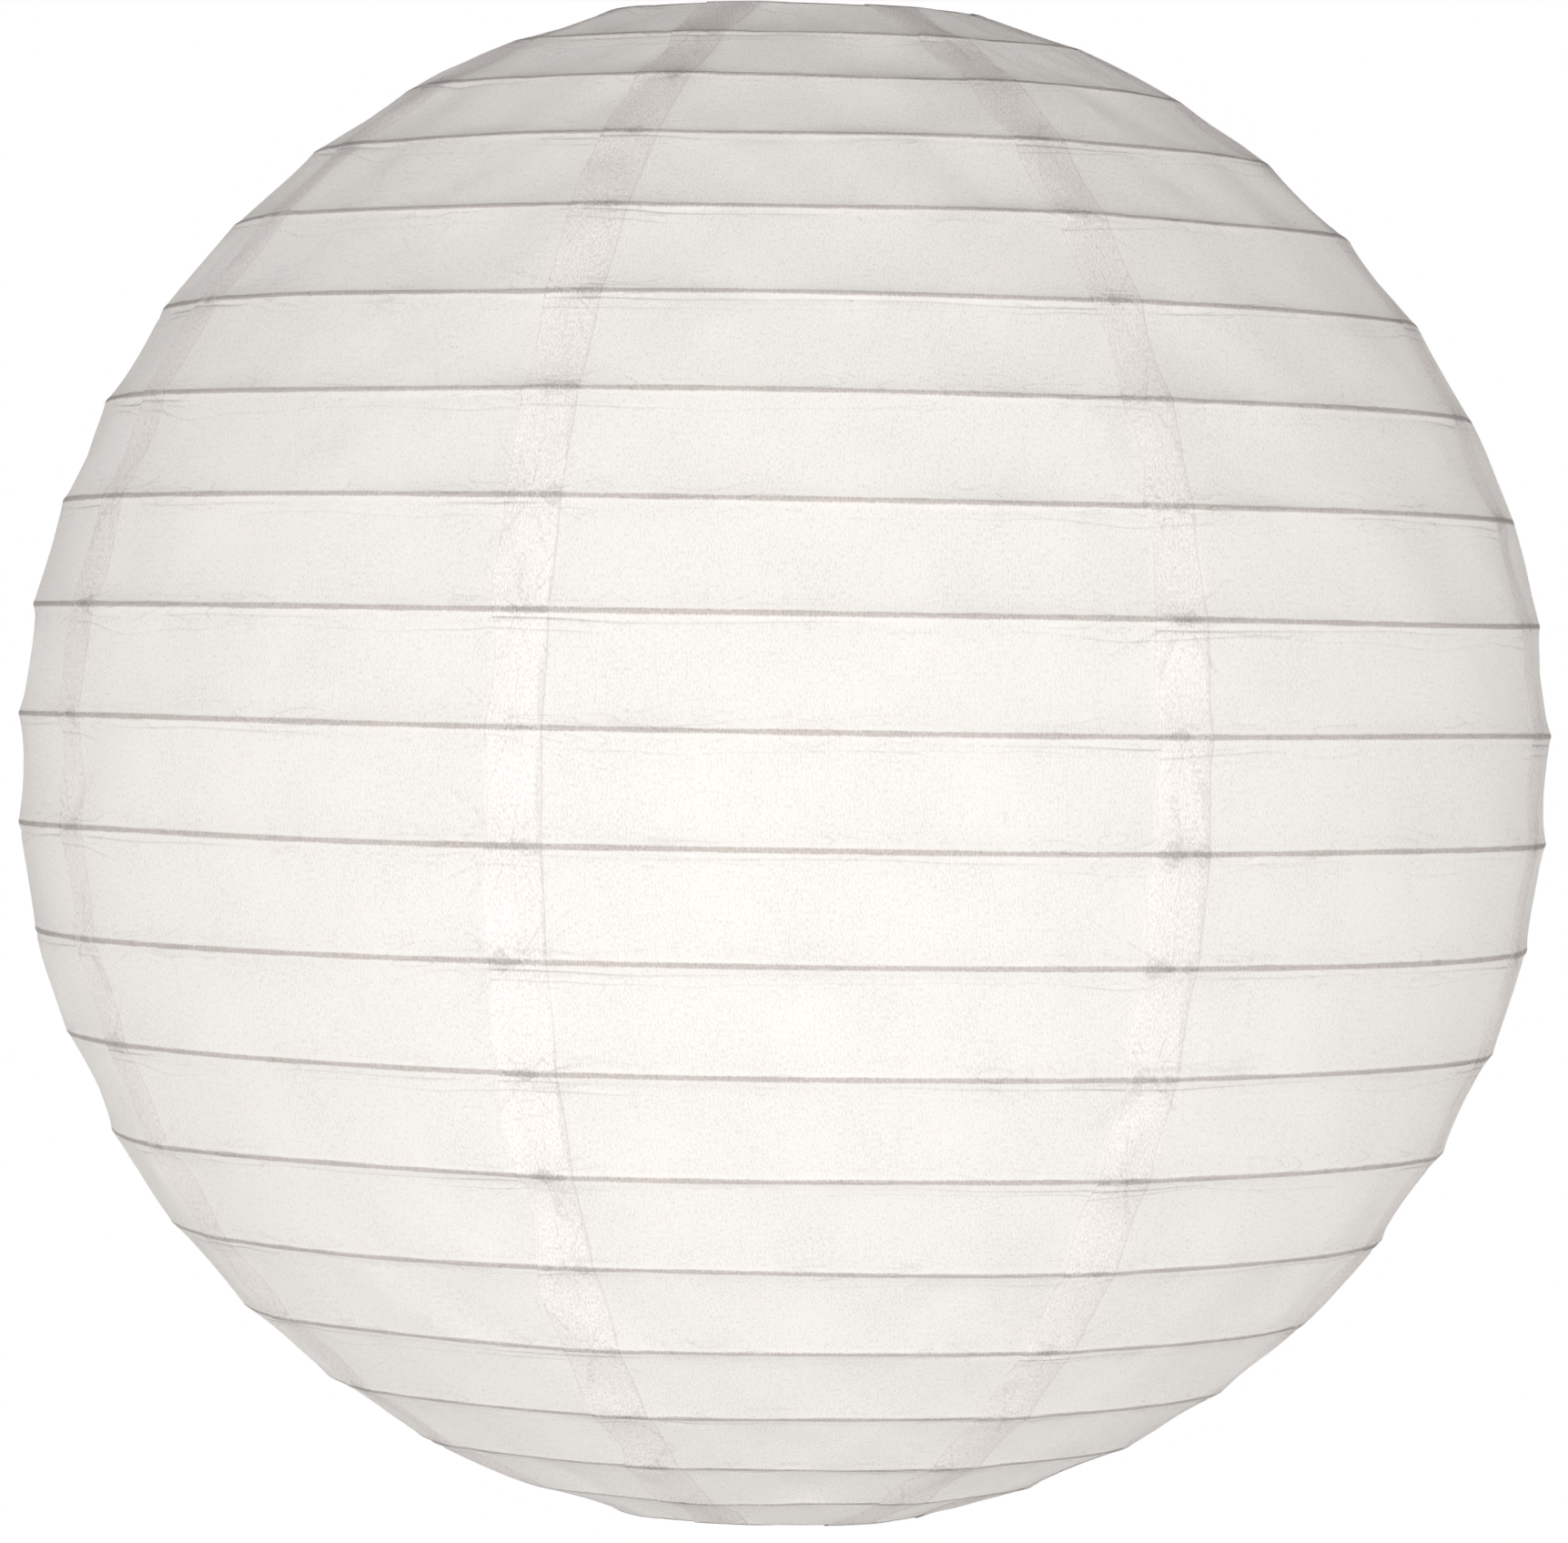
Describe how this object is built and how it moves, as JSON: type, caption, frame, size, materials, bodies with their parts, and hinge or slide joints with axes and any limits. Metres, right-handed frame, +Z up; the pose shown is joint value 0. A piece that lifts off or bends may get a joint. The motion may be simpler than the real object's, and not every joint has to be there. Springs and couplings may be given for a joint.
{
  "type": "paper lantern",
  "caption": "Round paper lantern: paper gores glued over wire ribs, held open by a wire expander with a hanging eye, with a battery lamp inside, folding flat.",
  "frame": {"origin": "the point under the crown of the expander's hanging eye, where a hook bears", "axes": "+Z up, out of the eye; the front of the lantern faces -Y; the expander's legs stand in the XZ plane"},
  "size_m": [0.4014, 0.4014, 0.3963],
  "materials": {
    "paper": "thin fibrous rice paper, matt, lets light through",
    "rib_wire": "thin steel wire wrapped and painted pale grey",
    "rim_wire": "drawn steel wire",
    "expander_wire": "bright drawn spring wire",
    "screw_metal": "zinc plated",
    "white_plastic": "moulded, fine texture",
    "diffuser": "frosted opal, lit from inside",
    "cell_sleeve": "printed film sleeve over a metal can",
    "contact_metal": "nickel plated",
    "board": "white solder mask",
    "led": "yellow phosphor over a chip",
    "switch_knob": "moulded, fine texture"
  },
  "bodies": {
    "root": {"gore_1": "paper", "gore_2": "paper", "gore_3": "paper", "gore_4": "paper", "gore_5": "paper", "gore_6": "paper", "gore_7": "paper", "gore_8": "paper", "top_rim": "rim_wire", "expander": "expander_wire", "expander_ferrule": "screw_metal"},
    "bottom_rim": {"bottom_rim": "rim_wire"},
    "rib_1": {"rib_1": "rib_wire"},
    "rib_2": {"rib_2": "rib_wire"},
    "rib_3": {"rib_3": "rib_wire"},
    "rib_4": {"rib_4": "rib_wire"},
    "rib_5": {"rib_5": "rib_wire"},
    "rib_6": {"rib_6": "rib_wire"},
    "rib_7": {"rib_7": "rib_wire"},
    "rib_8": {"rib_8": "rib_wire"},
    "rib_9": {"rib_9": "rib_wire"},
    "rib_10": {"rib_10": "rib_wire"},
    "rib_11": {"rib_11": "rib_wire"},
    "rib_12": {"rib_12": "rib_wire"},
    "rib_13": {"rib_13": "rib_wire"},
    "rib_14": {"rib_14": "rib_wire"},
    "rib_15": {"rib_15": "rib_wire"},
    "rib_16": {"rib_16": "rib_wire"},
    "rib_17": {"rib_17": "rib_wire"},
    "rib_18": {"rib_18": "rib_wire"},
    "lamp_hanger": {"lamp_hook": "expander_wire", "battery_cap": "white_plastic", "cap_contact": "contact_metal"},
    "lamp": {"lamp_housing": "white_plastic", "battery_cell_1": "cell_sleeve", "battery_cell_2": "cell_sleeve", "battery_cell_3": "cell_sleeve", "contact_spring_1": "contact_metal", "contact_spring_2": "contact_metal", "contact_spring_3": "contact_metal", "circuit_board": "board", "board_screw_1": "screw_metal", "board_screw_2": "screw_metal", "led_chip_1": "led", "led_chip_2": "led", "led_chip_3": "led", "led_chip_4": "led", "light_diffuser": "diffuser"},
    "switch_slider": {"switch_slider": "switch_knob"}
  },
  "joints": [
    {"name": "fold", "type": "slide", "parent": "root", "child": "bottom_rim", "axis": [0, 0, 1], "range_m": [0, 0.3628], "deforming": ["gore_1", "gore_2", "gore_3", "gore_4", "gore_5", "gore_6", "gore_7", "gore_8"]},
    {"name": "rib_1_rise", "type": "slide", "parent": "root", "child": "rib_1", "axis": [0, 0, 1], "range_m": [0, 0.00845]},
    {"name": "rib_2_rise", "type": "slide", "parent": "root", "child": "rib_2", "axis": [0, 0, 1], "range_m": [0, 0.02022]},
    {"name": "rib_3_rise", "type": "slide", "parent": "root", "child": "rib_3", "axis": [0, 0, 1], "range_m": [0, 0.03517]},
    {"name": "rib_4_rise", "type": "slide", "parent": "root", "child": "rib_4", "axis": [0, 0, 1], "range_m": [0, 0.053]},
    {"name": "rib_5_rise", "type": "slide", "parent": "root", "child": "rib_5", "axis": [0, 0, 1], "range_m": [0, 0.07337]},
    {"name": "rib_6_rise", "type": "slide", "parent": "root", "child": "rib_6", "axis": [0, 0, 1], "range_m": [0, 0.09587]},
    {"name": "rib_7_rise", "type": "slide", "parent": "root", "child": "rib_7", "axis": [0, 0, 1], "range_m": [0, 0.12004]},
    {"name": "rib_8_rise", "type": "slide", "parent": "root", "child": "rib_8", "axis": [0, 0, 1], "range_m": [0, 0.14542]},
    {"name": "rib_9_rise", "type": "slide", "parent": "root", "child": "rib_9", "axis": [0, 0, 1], "range_m": [0, 0.1715]},
    {"name": "rib_10_rise", "type": "slide", "parent": "root", "child": "rib_10", "axis": [0, 0, 1], "range_m": [0, 0.19775]},
    {"name": "rib_11_rise", "type": "slide", "parent": "root", "child": "rib_11", "axis": [0, 0, 1], "range_m": [0, 0.22367]},
    {"name": "rib_12_rise", "type": "slide", "parent": "root", "child": "rib_12", "axis": [0, 0, 1], "range_m": [0, 0.24873]},
    {"name": "rib_13_rise", "type": "slide", "parent": "root", "child": "rib_13", "axis": [0, 0, 1], "range_m": [0, 0.27243]},
    {"name": "rib_14_rise", "type": "slide", "parent": "root", "child": "rib_14", "axis": [0, 0, 1], "range_m": [0, 0.29432]},
    {"name": "rib_15_rise", "type": "slide", "parent": "root", "child": "rib_15", "axis": [0, 0, 1], "range_m": [0, 0.31394]},
    {"name": "rib_16_rise", "type": "slide", "parent": "root", "child": "rib_16", "axis": [0, 0, 1], "range_m": [0, 0.33092]},
    {"name": "rib_17_rise", "type": "slide", "parent": "root", "child": "rib_17", "axis": [0, 0, 1], "range_m": [0, 0.34491]},
    {"name": "rib_18_rise", "type": "slide", "parent": "root", "child": "rib_18", "axis": [0, 0, 1], "range_m": [0, 0.35564]},
    {"name": "lamp_swing", "type": "hinge", "parent": "root", "child": "lamp_hanger", "pos_m": [0, 0, -0.017], "axis": [1, 0, 0], "range_deg": [-20, 20]},
    {"name": "cap_twist", "type": "hinge", "parent": "lamp_hanger", "child": "lamp", "pos_m": [0, 0, -0.127], "axis": [0, 0, 1], "range_deg": [0, 30]},
    {"name": "switch_slide", "type": "slide", "parent": "lamp", "child": "switch_slider", "axis": [0, 0, 1], "range_m": [0, 0.004]}
  ],
  "couplings": [
    {"joint": "rib_1_rise", "follows": "fold", "ratio": 0.023016},
    {"joint": "rib_2_rise", "follows": "fold", "ratio": 0.055449},
    {"joint": "rib_3_rise", "follows": "fold", "ratio": 0.096655},
    {"joint": "rib_4_rise", "follows": "fold", "ratio": 0.14582},
    {"joint": "rib_5_rise", "follows": "fold", "ratio": 0.20196},
    {"joint": "rib_6_rise", "follows": "fold", "ratio": 0.26396},
    {"joint": "rib_7_rise", "follows": "fold", "ratio": 0.3306},
    {"joint": "rib_8_rise", "follows": "fold", "ratio": 0.40055},
    {"joint": "rib_9_rise", "follows": "fold", "ratio": 0.47243},
    {"joint": "rib_10_rise", "follows": "fold", "ratio": 0.5448},
    {"joint": "rib_11_rise", "follows": "fold", "ratio": 0.61623},
    {"joint": "rib_12_rise", "follows": "fold", "ratio": 0.6853},
    {"joint": "rib_13_rise", "follows": "fold", "ratio": 0.75064},
    {"joint": "rib_14_rise", "follows": "fold", "ratio": 0.81096},
    {"joint": "rib_15_rise", "follows": "fold", "ratio": 0.86505},
    {"joint": "rib_16_rise", "follows": "fold", "ratio": 0.91185},
    {"joint": "rib_17_rise", "follows": "fold", "ratio": 0.95042},
    {"joint": "rib_18_rise", "follows": "fold", "ratio": 0.98}
  ]
}
